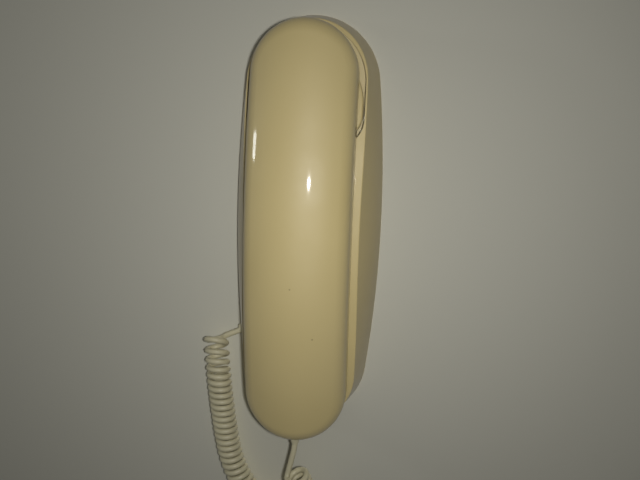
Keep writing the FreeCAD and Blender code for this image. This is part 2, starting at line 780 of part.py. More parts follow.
def crown_block(name, inset, low, radius):
    """The handset's outer form drawn in by inset: half-round ends under a crown bowed both ways."""
    body = new_body(name)
    crown = skirt + mm.handset_height - inset
    outline = new_sketch(body, low)
    stadium(outline, mm.handset_width - inset * 2, mm.handset_length - inset * 2)
    pad(body, outline, crown - low)
    across = mm.crown_across - inset
    along = mm.crown_along - inset
    above = new_sketch(body, 0, "XY_Plane")
    bind(above, "AttachmentOffset.Base.y", along - crown)
    half = mm.handset_width / 2 + mm.handset_gap
    cap = along + mm.handset_height
    level = -(along - across).value
    turn = math.asin(half.value / across.value)
    shoulder = level - across.value * math.cos(turn)
    crown_arc = arc(above, 0, level, across.value, 1.5 * math.pi - turn, 1.5 * math.pi + turn)
    sides = [
        line(above, half.value, shoulder, half.value, -cap.value),
        line(above, half.value, -cap.value, -half.value, -cap.value),
        line(above, -half.value, -cap.value, -half.value, shoulder),
    ]
    loop = [crown_arc] + sides
    for i, shape in enumerate(loop):
        above.addConstraint(Sketcher.Constraint("Coincident", shape, 2, loop[(i + 1) % 4], 1))
    dimension(above, "Radius", (crown_arc,), across)
    place_point(above, crown_arc, 3, 0, across - along)
    place_point(above, sides[1], 1, half, -cap)
    place_point(above, sides[1], 2, -half, -cap)
    for side in (sides[0], sides[2]):
        above.addConstraint(Sketcher.Constraint("Vertical", side))
    trim = body.newObject("PartDesign::Groove", "crown")
    trim.Profile = above
    trim.ReferenceAxis = (above, ["H_Axis"])
    trim.Angle = 60
    trim.Midplane = True
    doc.recompute()
    round_edges(body, radius, lambda edge: min(edge_depths(edge)) > low.value + 1)
    return body


def make_handset_back():
    """The smooth outer shell of the handset, with two screw bosses and the cord's hole."""
    low = skirt - mm.skirt_drop
    outer = crown_block("handset_form", mm.handset_gap * 0, low, mm.crown_round)
    arch_cut(outer, skirt_arch, mm.handset_length / 2 + mm.base_wall, -mm.base_wall)
    hollow = crown_block("handset_hollow", mm.handset_wall, low - mm.handset_gap, mm.crown_round - mm.handset_wall)
    bosses = new_sketch(hollow, face_top)
    for x, z in handset_screws:
        circle(bosses, mm.handset_boss, x, z)
        circle(bosses, screw_pilot, x, z)
    pocket(hollow, bosses, mm.handset_height * 2, outward=True)
    hole = doc.addObject("Part::Cylinder", "cord_hole")
    bind(hole, "Radius", mm.relief_diameter / 2 + mm.shell_fit)
    bind(hole, "Height", mm.handset_width)
    bind(hole, "Placement.Base.y", -boot_level)
    bind(hole, "Placement.Base.z", -(mm.handset_length / 2) - mm.handset_wall)
    opening = doc.addObject("Part::Fuse", "handset_openings")
    opening.Base = hollow
    opening.Tool = hole
    shell = doc.addObject("Part::Cut", "handset_back")
    shell.Base = outer
    shell.Tool = opening
    doc.recompute()
    return keep(shell, "handset_back")


def make_handset_face():
    """The inner shell: ear and mouth swellings, key windows, hook slot, posts and sound holes."""
    body = new_body("handset_face")
    ear_low = mm.ear_seat_bottom + mm.ear_bottom_gap
    ear_face = ear_floor + mm.ear_floor_gap
    ear_neck = mm.handset_width - face_inset * 2
    ear_corner = mm.ear_seat_corner - mm.ear_gap
    # The ear swelling follows the arch of the skirt, and its neck goes up inside the skirt
    swelling = new_sketch(body, skirt)
    arch(swelling, mm.ear_seat_width - mm.ear_gap * 2, mm.ear_centre, ear_low, ear_corner)
    pad(body, swelling, skirt - ear_face, outward=False, taper=-2)
    arch_cut(body, ear_arch, mm.handset_length / 2 + mm.base_wall, -face_top)
    round_edges(body, mm.ear_round, lambda edge: on_arch(edge, ear_arch))
    neck = new_sketch(body, skirt)
    arch(neck, ear_neck, mm.ear_centre, ear_low + mm.ear_round, ear_corner - mm.ear_round)
    pad(body, neck, skirt - ear_face, outward=False)
    plate = new_sketch(body, skirt)
    stadium(plate, mm.handset_width - face_inset * 2, mm.handset_length - face_inset * 2)
    pad(body, plate, mm.face_thickness)
    ear_room = new_sketch(body, face_top)
    arch(ear_room, ear_neck - mm.face_thickness * 2, mm.ear_centre, ear_low + mm.face_thickness,
         ear_corner - mm.face_thickness)
    pocket(body, ear_room, face_top - ear_face - mm.face_thickness)

    mouth = [(0, -mm.mouth_height)]
    mouth_face = mouth_floor + mm.mouth_floor_gap
    mouth_diameter = mm.mouth_seat_diameter - mm.mouth_gap * 2
    discs(body, "Pad", mouth_diameter, mouth, skirt, skirt - mouth_face, False, taper=-6)
    discs(body, "Pocket", mouth_diameter - mm.face_thickness * 4, mouth, face_top,
          face_top - mouth_face - mm.face_thickness, False)

    ear_spots = [(0, receiver_z)]
    for ring, count in ((1, 6), (2, 12)):
        for i in range(count):
            angle = 2 * math.pi * (i + 0.25) / count
            reach = mm.sound_ring * ring
            ear_spots.append((reach * math.cos(angle), receiver_z + reach * math.sin(angle)))
    discs(body, "Pocket", mm.sound_hole, ear_spots, ear_face, mm.face_thickness, True)
    mouth_spots = [(0, -mm.mouth_height), (-mm.sound_ring, -mm.mouth_height), (mm.sound_ring, -mm.mouth_height)]
    discs(body, "Pocket", mm.sound_hole, mouth_spots, mouth_face, mm.face_thickness, True)

    windows = new_sketch(body, skirt)
    for x, z in keys.values():
        rounded_box(windows, mm.key_width + mm.key_fit * 2, mm.key_tall + mm.key_fit * 2,
                    mm.key_corner + mm.key_fit, x if x.value else 0, z)
    pocket(body, windows, mm.face_thickness, outward=True)
    slot = new_sketch(body, 0, "YZ_Plane")
    polygon(slot, hook_corners(skirt - mm.face_thickness, face_top + mm.face_thickness, mm.hook_fit))
    pocket(body, slot, mm.hook_width + mm.hook_fit * 2, middle=True)

    notch_half = mm.relief_flange / 2 + mm.hook_fit
    notch_low = -(mm.handset_length / 2)
    notch_top = notch_low + mm.handset_wall * 2 + mm.relief_flange_thickness + mm.hook_fit
    notch = new_sketch(body, skirt)
    polygon(notch, [(-notch_half, notch_low), (notch_half, notch_low), (notch_half, notch_top),
                    (-notch_half, notch_top)])
    pocket(body, notch, mm.face_thickness, outward=True)

    discs(body, "Pad", mm.post_diameter, keypad_screws, face_top, mm.keypad_post, True)
    discs(body, "Pocket", board_screw_pilot, keypad_screws, keypad_board_under, mm.keypad_post, False)
    discs(body, "Pocket", screw_pilot + mm.screw_fit * 4, handset_screws, skirt, mm.face_thickness, True)
    discs(body, "Pocket", mm.screw_head + mm.screw_fit * 4, handset_screws, skirt,
          mm.screw_head_deep + mm.screw_fit, True)
    return keep(body, "handset_face")


def make_receiver():
    """The earpiece capsule on its gasket: a wide front and a smaller magnet behind."""
    place = [(0, receiver_z)]
    floor = ear_floor + mm.ear_floor_gap + mm.face_thickness
    gasket = new_body("receiver_gasket")
    discs(gasket, "Pad", mm.receiver_diameter, place, floor, mm.gasket_thickness, True)
    discs(gasket, "Pocket", mm.receiver_diameter - mm.gasket_width * 2, place, floor, mm.gasket_thickness, True)
    keep(gasket, "receiver_gasket")
    body = new_body("receiver")
    front = floor + mm.gasket_thickness
    discs(body, "Pad", mm.receiver_diameter, place, front, mm.receiver_deep / 2, True)
    discs(body, "Pad", mm.receiver_diameter * 0.6, place, front + mm.receiver_deep / 2, mm.receiver_deep / 2, True)
    keep(body, "receiver")


def make_microphone():
    """The microphone capsule in a rubber cup behind the mouth swelling's holes."""
    place = [(0, -mm.mouth_height)]
    floor = mouth_floor + mm.mouth_floor_gap + mm.face_thickness
    cup = new_body("microphone_boot")
    outside = mm.microphone_diameter + mm.boot_wall * 2
    discs(cup, "Pad", outside, place, floor, mm.boot_deep, True)
    discs(cup, "Pocket", mm.microphone_diameter + mm.screw_fit * 2, place, floor, mm.boot_deep - mm.boot_wall, True)
    keep(cup, "microphone_boot")
    body = new_body("microphone")
    start = floor + mm.screw_fit
    discs(body, "Pad", mm.microphone_diameter, place, start, mm.microphone_deep, True)
    keep(body, "microphone")


def make_keypad():
    """The keys, the rubber mat with a dome over each contact, and the board behind."""
    for name, (x, z) in keys.items():
        body = new_body(f"key_{name}")
        across = x if x.value else 0
        flange = new_sketch(body, face_top + mm.key_seat_gap)
        rounded_box(flange, mm.key_width + mm.key_lip * 2, mm.key_tall + mm.key_lip * 2, mm.key_corner, across, z)
        pad(body, flange, mm.key_flange)
        cap = new_sketch(body, face_top + mm.key_seat_gap)
        rounded_box(cap, mm.key_width, mm.key_tall, mm.key_corner, across, z)
        pad(body, cap, mm.face_thickness + mm.key_seat_gap + mm.key_stand, outward=False)
        front = skirt.value - mm.key_stand.value
        round_edges(body, mm.key_stand * 0.4, lambda edge: max(edge_depths(edge)) < front + 0.01)
        keep(body, f"key_{name}")

    mat_under = keypad_board_under - mm.mat_thickness
    mat = new_body("key_mat")
    sheet_outline = new_sketch(mat, mat_under)
    rounded_box(sheet_outline, keypad_screw_x * 2 - mm.post_diameter - mm.key_corner, mm.key_row * 4,
                mm.key_corner, 0, mm.keypad_height)
    pad(mat, sheet_outline, mm.mat_thickness)
    dome_low = key_flange_top + mm.key_travel + mm.key_seat_gap
    spots = [(x if x.value else 0, z) for x, z in keys.values()]
    discs(mat, "Pad", mm.dome_diameter, spots, mat_under, mat_under - dome_low, False)
    keep(mat, "key_mat")

    board = new_body("keypad_board")
    plate = new_sketch(board, keypad_board_under)
    box(plate, mm.keypad_board_width, mm.keypad_board_tall, 0, keypad_middle)
    pad(board, plate, mm.board_thickness)
    discs(board, "Pocket", board_screw_pilot, keypad_screws, keypad_board_under, mm.board_thickness, True)
    keep(board, "keypad_board")


def make_handset_strain_relief():
    """The flared boot at the bottom of the handset, turned about the cord's own line."""
    body = new_body("handset_strain_relief")
    profile = new_sketch(body, 0, "YZ_Plane")
    bind(profile, "AttachmentOffset.Base.x", -boot_level)
    end = -(mm.handset_length / 2)
    inside = end + mm.handset_wall * 2
    neck = mm.relief_diameter / 2
    polygon(profile, [
        (0, end - mm.boot_reach), (mm.boot_tip / 2, end - mm.boot_reach), (neck, end),
        (neck, inside), (mm.relief_flange / 2, inside),
        (mm.relief_flange / 2, inside + mm.relief_flange_thickness), (0, inside + mm.relief_flange_thickness),
    ])
    turned = body.newObject("PartDesign::Revolution", "turned")
    turned.Profile = profile
    turned.ReferenceAxis = (profile, ["V_Axis"])
    turned.Angle = 360
    doc.recompute()
    return keep(body, "handset_strain_relief")


def biarc(start, start_way, end, end_way):
    """Two arcs from start to end that leave and arrive along the given directions."""
    chord = end - start
    both = start_way + end_way
    spread = 2 * (1 - start_way.dot(end_way))
    along = chord.dot(both)
    if spread < 1e-9:
        arm = chord.dot(chord) / (2 * along)
    else:
        arm = (math.sqrt(along * along + spread * chord.dot(chord)) - along) / spread
    first = start + start_way * arm
    last = end - end_way * arm
    middle = (first + last) / 2
    return [bent_edge(start, first, middle), bent_edge(middle, last, end)]


def bent_edge(start, corner, end):
    """The arc from start to end whose end tangents cross at corner, or a straight edge."""
    chord_middle = (start + end) / 2
    rise = corner - chord_middle
    half = (end - start).Length / 2
    if rise.Length < 1e-5:
        return Part.LineSegment(start, end).toShape()
    bulge = half * math.tan(math.atan2(rise.Length, half) / 2)
    return Part.Arc(start, chord_middle + rise * (bulge / rise.Length), end).toShape()


def tube(path, diameter):
    """A round tube along points with directions, and the least bend radius of its path."""
    edges = []
    for (start, way), (end, next_way) in zip(path, path[1:]):
        edges += biarc(start, way, end, next_way)
    spine = Part.Wire(edges)
    ring = Part.Wire(Part.Circle(path[0][0], path[0][1], diameter / 2).toShape())
    solid = spine.makePipeShell([ring], True, False)
    bends = [edge.Curve.Radius for edge in edges if hasattr(edge.Curve, "Radius")]
    ratio = solid.Volume / (math.pi / 4 * diameter ** 2 * spine.Length)
    print(f"tube {spine.Length:.0f} mm long, least bend radius {min(bends):.2f} mm, "
          f"volume over section times length {ratio:.4f}")
    report_least_gap(edges, diameter)
    return solid


def report_least_gap(edges, diameter):
    """Prints the least clear gap between stretches of a tube that aren't neighbours."""
    points = []
    along = []
    done = 0.0
    for edge in edges:
        steps = max(2, int(edge.Length / diameter * 3))
        for i in range(steps):
            points.append(edge.valueAt(edge.FirstParameter
                                       + (edge.LastParameter - edge.FirstParameter) * i / steps))
            along.append(done + edge.Length * i / steps)
        done += edge.Length
    least = min((points[i] - points[j]).Length
                for i in range(len(points)) for j in range(i) if along[i] - along[j] > 3 * diameter)
    print(f"least gap of the tube to itself {least - diameter:.2f} mm")


def winding(axis, radius, pitch_at, first_way, last_way, turns_wanted=None):
    """Points and directions, twice a turn, of a left-handed coil about a line of points.

    It starts on the side first_way of the line's start and ends on the side last_way of its end.
    """
    ways = [(b - a).normalize() for a, b in zip(axis, axis[1:])]
    ways.append(ways[-1])
    side = first_way - ways[0] * first_way.dot(ways[0])
    sides = [side.normalize()]
    for way in ways[1:]:
        side = sides[-1] - way * sides[-1].dot(way)
        sides.append(side.normalize())
    turns = [0.0]
    gone = 0.0
    for i in range(1, len(axis)):
        step = (axis[i] - axis[i - 1]).Length
        gone += step
        bend = ways[i].getAngle(ways[i - 1]) / step
        turns.append(turns[-1] + step / (pitch_at(gone) / (1 - min(0.6, radius * bend))))
    final = last_way - ways[-1] * last_way.dot(ways[-1])
    offset = math.atan2(final.dot(ways[-1].cross(sides[-1])), final.dot(sides[-1]))
    share = (-offset / (2 * math.pi)) % 1
    total = math.floor(turns[-1] - share) + share if turns_wanted is None else turns_wanted
    scale = total / turns[-1]

    def spot(turn):
        i = 1
        while i < len(turns) - 1 and turns[i] * scale < turn:
            i += 1
        part = (turn / scale - turns[i - 1]) / (turns[i] - turns[i - 1])
        centre = axis[i - 1] + (axis[i] - axis[i - 1]) * part
        across = sides[i - 1] + (sides[i] - sides[i - 1]) * part
        way = ways[i - 1] + (ways[i] - ways[i - 1]) * part
        angle = -2 * math.pi * turn
        return centre + (across * math.cos(angle) + way.cross(across) * math.sin(angle)) * radius

    count = math.ceil(total * 2)
    step = total / count
    path = []
    for i in range(count + 1):
        nearby = 0.02
        before = spot(i * step - nearby if i else 0)
        after = spot(i * step + nearby if i < count else total)
        path.append((spot(i * step), (after - before).normalize()))
    print(f"{total:.2f} turns, wound pitch {1 / scale:.3f} of the loosest fit")
    return path


def smooth_line(poles, count):
    """Points along the quadratic spline that has the poles as its control points."""
    knots = list(range(len(poles) - 1))
    folds = [3] + [1] * (len(poles) - 3) + [3]
    curve = Part.BSplineCurve()
    curve.buildFromPolesMultsKnots(poles, folds, knots, False, 2)
    return curve.discretize(Number=count)


# The line that the curls go round, from the base to the handset: across, depth, height,
# drawn for a handset of this length
ROUTE_HANDSET = 215
CORD_ROUTE = [
    (-50.0, 11.6, -63.0), (-49.1, 9.0, -81.0), (-46.3, 8.6, -102.0), (-43.2, 8.6, -123.0),
    (-39.6, 8.6, -138.0), (-33.0, 8.7, -151.5), (-21.5, 9.0, -163.5), (-6.5, 10.8, -166.5),
    (4.5, 14.8, -160.0), (7.0, 20.0, -150.0), (4.5, 25.5, -140.0), (1.0, 28.8, -131.0),
]


def make_curly_cord():
    """One unbroken tube: a tail from the base, the curls, and a tail up into the handset's boot."""
    wire = mm.cord_wire.value
    pitch = mm.cord_pitch.value
    stretch = mm.cord_stretch.value
    fade = mm.cord_stretch_fade.value
    grow = mm.handset_length.value / ROUTE_HANDSET
    axis = smooth_line([Vector(x, -depth, z) * grow for x, depth, z in CORD_ROUTE], 700)
    curls = winding(axis, (mm.cord_coil.value - wire) / 2,
                    lambda gone: pitch + stretch * math.exp(-gone / fade), Vector(0.2, 1, 0), Vector(-1, 0, 0))
    leave = cord_leaves
    exit_point = Vector(-relief_x.value, -mm.cord_exit_depth.value, mm.cord_exit_z.value)
    arrive = Vector(0, 0, 1)
    boot_point = Vector(0, -boot_level.value, -mm.handset_length.value / 2 - mm.boot_reach.value)
    path = [(exit_point, leave), (exit_point + leave * wire, leave)]
    path += curls
    path += [(boot_point - arrive * wire, arrive), (boot_point, arrive)]
    cord = doc.addObject("Part::Feature", "curly_cord")
    cord.Shape = tube(path, wire)
    cord.Placement = FreeCAD.Placement()
    return keep(cord, "curly_cord")


def make_hook_spring():
    """The spring that pushes the plunger out, between the switch and the plunger's collar."""
    wire = mm.spring_wire.value
    room = mm.plunger_fit.value / 3
    radius = (mm.plunger_rod.value + wire) / 2 + mm.plunger_fit.value
    low = switch_top.value + wire / 2 + room
    high = switch_top.value + mm.spring_room.value - wire / 2 - room
    height = mm.plunger_height.value
    axis = [Vector(0, -(low + (high - low) * i / 40), height) for i in range(41)]
    path = winding(axis, radius, lambda gone: 2 * wire, Vector(0, 0, 1), Vector(0, 0, 1), 3.0)
    spring = doc.addObject("Part::Feature", "hook_spring")
    spring.Shape = tube(path, wire)
    spring.Placement = FreeCAD.Placement()
    return keep(spring, "hook_spring")


def check_all():
    """Stops if any object failed or any piece's shape is empty or broken."""
    for thing in doc.Objects:
        if "Invalid" in thing.State or "Error" in thing.State:
            raise RuntimeError(f"{thing.Label} failed: {thing.State}")
    for piece in pieces:
        if piece.Shape.isNull() or not piece.Shape.isValid():
            raise RuntimeError(f"{piece.Label} has no valid shape")


make_base_housing()
make_rear_cover()
make_screws("rear_cover_screws", cover_screws, mm.screw_head, mm.screw_head_deep, mm.screw_fit,
            mm.screw_shank, mm.screw_long, True)
make_handset_hook()
make_base_board()
make_screws("base_board_screws", board_screws, mm.board_screw_head, mm.board_thickness,
            board_top + mm.board_thickness, mm.board_screw_shank, mm.board_screw_long, False)
make_hook_switch()
make_hook_plunger()
make_hook_spring()
make_ringer()
make_line_jack()
make_base_strain_relief()
make_handset_back()
make_handset_face()
make_screws("handset_screws", handset_screws, mm.screw_head, mm.screw_head_deep, skirt + mm.screw_fit,
            mm.screw_shank, mm.screw_long, True)
make_receiver()
make_microphone()
make_keypad()
make_screws("keypad_board_screws", keypad_screws, mm.board_screw_head, mm.board_thickness,
            keypad_board_under + mm.board_thickness * 2, mm.board_screw_shank, mm.board_screw_long, False)
make_handset_strain_relief()
make_curly_cord()
doc.recompute()
check_all()

os.makedirs("parts", exist_ok=True)
for piece in pieces:
    piece.Shape.exportStep(f"parts/{piece.Label}.step")
    print(piece.Label, len(piece.Shape.Solids), "solid,", f"{piece.Shape.Volume:.0f} mm3")
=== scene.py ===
# %% [markdown]
# # A slim wall telephone
# The imported CAD model is the frame: a flared base on the wall, a full-length handset over it and a
# curly cord between them. This file gives it a camera, a drawn cord of its own, finishes and light.
# Everything is in metres, with the wall at Y = 0, Z up and the front towards -Y.

# %% Load the frame
import bpy
import math
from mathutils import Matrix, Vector


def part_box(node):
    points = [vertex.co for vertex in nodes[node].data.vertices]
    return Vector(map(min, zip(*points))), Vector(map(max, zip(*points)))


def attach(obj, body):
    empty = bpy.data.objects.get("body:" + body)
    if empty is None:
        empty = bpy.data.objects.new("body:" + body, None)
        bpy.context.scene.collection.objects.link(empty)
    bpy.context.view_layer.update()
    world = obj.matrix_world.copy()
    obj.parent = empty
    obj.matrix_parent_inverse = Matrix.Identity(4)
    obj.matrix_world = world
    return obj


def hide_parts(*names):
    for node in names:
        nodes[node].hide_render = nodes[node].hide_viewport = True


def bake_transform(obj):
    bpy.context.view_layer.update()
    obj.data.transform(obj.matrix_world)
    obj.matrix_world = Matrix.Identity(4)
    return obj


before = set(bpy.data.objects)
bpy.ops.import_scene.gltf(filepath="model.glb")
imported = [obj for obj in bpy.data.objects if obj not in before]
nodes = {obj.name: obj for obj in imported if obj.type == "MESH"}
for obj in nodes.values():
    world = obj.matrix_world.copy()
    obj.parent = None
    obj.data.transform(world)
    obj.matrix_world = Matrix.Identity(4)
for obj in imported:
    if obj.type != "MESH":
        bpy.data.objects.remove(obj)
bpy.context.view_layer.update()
scene = bpy.context.scene
scene.view_settings.view_transform = "Standard"

# %% [markdown]
# ## Camera
# The picture is taken from a little above and to the right, close up, so the base's right side shows.
# A 36 mm lens on a 36 mm sensor gives the same narrowing towards the bottom. The place and the turn
# could be set by eye. They come from matching the phone's outline, which is more exact.

# %% Camera
LENS_MM = 36.45
SENSOR_MM = 36
EYE_PLACE = (0.0487, -0.3518, 0.0557)
EYE_TURN = (80.185, -1.843, 7.149)

eye = bpy.data.cameras.new("eye")
eye.lens = LENS_MM
eye.sensor_width = SENSOR_MM
camera = bpy.data.objects.new("eye", eye)
camera.location = EYE_PLACE
camera.rotation_euler = [math.radians(angle) for angle in EYE_TURN]
scene.collection.objects.link(camera)
scene.camera = camera
print("camera", round(1000 * camera.location.length), "mm from the middle of the wall screws")

# %% [markdown]
# ## The line of the curls
# A curly cord is a thin cable wound in a close left-handed helix. The line that the curls go round
# leaves the base's side, hangs in a U below the phone and comes forward to the handset. A NURBS
# spline with a handful of points is the way to draw a hanging line, because it has no corners.

# %% Line of the curls
CURL_LINE = [
    (-0.0491, -0.0116, -0.0611), (-0.0485, -0.0090, -0.0810), (-0.0463, -0.0086, -0.1020),
    (-0.0432, -0.0086, -0.1230), (-0.0396, -0.0086, -0.1380), (-0.0330, -0.0087, -0.1515),
    (-0.0215, -0.0090, -0.1635), (-0.0065, -0.0108, -0.1665), (0.0045, -0.0148, -0.1600),
    (0.0070, -0.0200, -0.1500), (0.0045, -0.0255, -0.1400), (0.0010, -0.0288, -0.1310),
]
LINE_RESOLUTION = 60


def smooth_curve(name, points, resolution):
    """A NURBS curve object with the points as its control points."""
    curve = bpy.data.curves.new(name, "CURVE")
    curve.dimensions = "3D"
    curve.resolution_u = resolution
    spline = curve.splines.new("NURBS")
    spline.points.add(len(points) - 1)
    for point, place in zip(spline.points, points):
        point.co = (*place, 1)
    spline.order_u = 3
    spline.use_endpoint_u = True
    made = bpy.data.objects.new(name, curve)
    scene.collection.objects.link(made)
    return made


def points_along(curve_object):
    """The points that Blender draws along a curve with no thickness."""
    mesh = bpy.data.meshes.new_from_object(curve_object)
    places = [vertex.co.copy() for vertex in mesh.vertices]
    bpy.data.meshes.remove(mesh)
    return places


def length_of(places):
    """The length of the way from point to point."""
    return sum((b - a).length for a, b in zip(places, places[1:]))


curl_line = smooth_curve("curl_line", CURL_LINE, LINE_RESOLUTION)
line_points = points_along(curl_line)
bpy.data.objects.remove(curl_line)
print("line of the curls:", round(1000 * length_of(line_points)), "mm")

# %% [markdown]
# ## The curls
# The Screw modifier winds a helix too, but only round a straight axis. So the points are worked out
# here: sides are carried along the line without twisting, and the helix turns about it. The first
# curl is closed and tips up in front. The next ones are pulled apart by the weight below them and tip
# less, and further on the curls lie close.

# %% Sizes of the curls
# The cable's thickness, and how far its middle runs from the line
WIRE = 0.0032
CURL_RADIUS = 0.0055
# Way along the line for each turn: where curls lie close, and what the pull adds below the first one
CLOSE_PITCH = 0.00344
STRETCH = 0.0038
STRETCH_FADE = 0.016
# Way along the line for the first curl, and the share of it that isn't pulled at all
FIRST_CURL = 0.0024
UNPULLED = 0.5
# Rise of a curl for each metre to the right and to the back, so that it is highest in front, and how
# much more the first one has
TIP = Vector((0.15, -0.48, 0))
TIP_FADE = 0.023
FIRST_TIP = 0.4
# In a bend the curls crowd on the inner side, so there are fewer: at most this share is left out
MOST_LEFT_OUT = 0.6
POINTS_A_TURN = 16
print("curls", round(1000 * (2 * CURL_RADIUS + WIRE), 1), "mm across")


# %% Curls
def curls_round(line, first_way, last_way):
    """Points of a left-handed helix round a line, from one side of its start to one side of its end."""
    ways = [(b - a).normalized() for a, b in zip(line, line[1:])]
    ways.append(ways[-1])
    sides = [(first_way - ways[0] * first_way.dot(ways[0])).normalized()]
    turns = [0.0]
    tips = [TIP * (1 + FIRST_TIP)]
    gone = 0.0
    for i in range(1, len(line)):
        sides.append((sides[-1] - ways[i] * sides[-1].dot(ways[i])).normalized())
        step = (line[i] - line[i - 1]).length
        gone += step
        bend = ways[i].angle(ways[i - 1], 0.0) / step
        pulled = min(1.0, max(0.0, gone / FIRST_CURL - UNPULLED))
        pitch = CLOSE_PITCH + STRETCH * pulled * math.exp(-(gone / STRETCH_FADE) ** 2)
        turns.append(turns[-1] + step * (1 - min(MOST_LEFT_OUT, CURL_RADIUS * bend)) / pitch)
        tips.append(TIP * (1 + FIRST_TIP * (1 - pulled)) * math.exp(-(gone / TIP_FADE) ** 2))
    # The last part of a turn is cut or added so that the helix ends on the side asked for
    final = last_way - ways[-1] * last_way.dot(ways[-1])
    offset = math.atan2(final.dot(ways[-1].cross(sides[-1])), final.dot(sides[-1]))
    share = (-offset / (2 * math.pi)) % 1
    total = math.floor(turns[-1] - share) + share
    count = round(total * POINTS_A_TURN)
    # A NURBS curve runs inside its control points, so they lie a little further out
    reach = CURL_RADIUS / math.cos(math.pi / POINTS_A_TURN) ** 0.5
    helix = []
    i = 1
    for k in range(count + 1):
        turn = turns[-1] * k / count
        while i < len(turns) - 1 and turns[i] < turn:
            i += 1
        part = (turn - turns[i - 1]) / (turns[i] - turns[i - 1])
        centre = line[i - 1].lerp(line[i], part)
        across = sides[i - 1].lerp(sides[i], part)
        angle = -2 * math.pi * total * k / count
        round_way = across * math.cos(angle) + ways[i].cross(across) * math.sin(angle)
        rise = tips[i - 1].lerp(tips[i], part).dot(round_way)
        helix.append(centre + (round_way + Vector((0, 0, rise))) * reach)
    print("curls:", round(total, 2), "turns of", len(helix), "points")
    return helix


curls = curls_round(line_points, Vector((1, 0.55, 0)), Vector((-1, 0, 0)))

# %% [markdown]
# ## The cord
# The cable itself is one unbroken tube: a straight start out of the bush in the base's side, the
# curls, and a last stretch up into the boot in the handset's end. A curve with a round bevel draws
# it, and it is made a mesh.

# %% Cord
BUSH = Vector((-0.0354, -0.0080, -0.0575))
BOOT = Vector((0.0, -0.0290, -0.1125))
SLOPE = math.radians(28)
CORD_RESOLUTION = 2

leave = Vector((-math.cos(SLOPE), 0, -math.sin(SLOPE)))
cord_points = [BUSH, BUSH + leave * WIRE] + curls + [BOOT - Vector((0, 0, WIRE)), BOOT]
cord = smooth_curve("cord", cord_points, CORD_RESOLUTION)
cord_path = points_along(cord)
cord.data.bevel_depth = WIRE / 2
cord.data.bevel_resolution = 3
cord.data.use_fill_caps = True
bpy.ops.object.select_all(action="DESELECT")
cord.select_set(True)
bpy.context.view_layer.objects.active = cord
bpy.ops.object.convert(target="MESH")
bpy.ops.object.shade_smooth()
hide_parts("curly_cord")
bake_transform(cord)
print("cord:", round(length_of(cord_path), 3), "m,", len(cord.data.polygons), "faces")

# %% [markdown]
# ## Finishes
# Every finish is a tree of nodes round one Principled shader. The trees could be drawn by hand in the
# node editor. In a script, one helper adds a node with its settings and links, and one turns an sRGB
# hex colour to the linear numbers that Blender mixes light with.

# %% Helpers for finishes
def linear(code):
    """An sRGB hex colour as linear red, green, blue and alpha."""
    parts = [int(code[i:i + 2], 16) / 255 for i in (1, 3, 5)]
    return [p / 12.92 if p <= 0.04045 else ((p + 0.055) / 1.055) ** 2.4 for p in parts] + [1.0]


def add(tree, kind, inputs=None, **settings):
    """Adds a node; an input is a value, or another node's output to link."""
    made = tree.nodes.new(kind)
    for name, value in settings.items():
        setattr(made, name, value)
    for socket, value in (inputs or {}).items():
        if isinstance(value, bpy.types.NodeSocket):
            tree.links.new(value, made.inputs[socket])
        else:
            made.inputs[socket].default_value = value
    return made


def new_finish(name):
    """An empty material: its tree, its shader and the object coordinates."""
    material = bpy.data.materials.new(name)
    material.use_nodes = True
    tree = material.node_tree
    shader = tree.nodes["Principled BSDF"]
    place = add(tree, "ShaderNodeTexCoord").outputs["Object"]
    return material, tree, shader, place


def wear(node_names, material):
    """Gives CAD nodes a finish."""
    for name in node_names:
        nodes[name].material_slots[0].material = material
    print(material.name, "on", len(node_names), "pieces")


print("helpers for finishes ready")

# %% [markdown]
# ## Aged ivory ABS
# The shells are moulded ABS that was ivory and has yellowed. Up close it is glossy with a faint
# ripple from the mould, a little uneven in colour, and it carries a few dark specks of dirt. Noise in
# real millimetres gives all of that with no picture and no unwrapping.

# %% Ivory shell
# Real sizes of the patterns: drift of colour, spacing of specks, dulled patches, ripple and grain
DRIFT = 0.060
SPECK_SPACING = 0.018
DULLED = 0.015
RIPPLE = 0.005
GRAIN = 0.0004


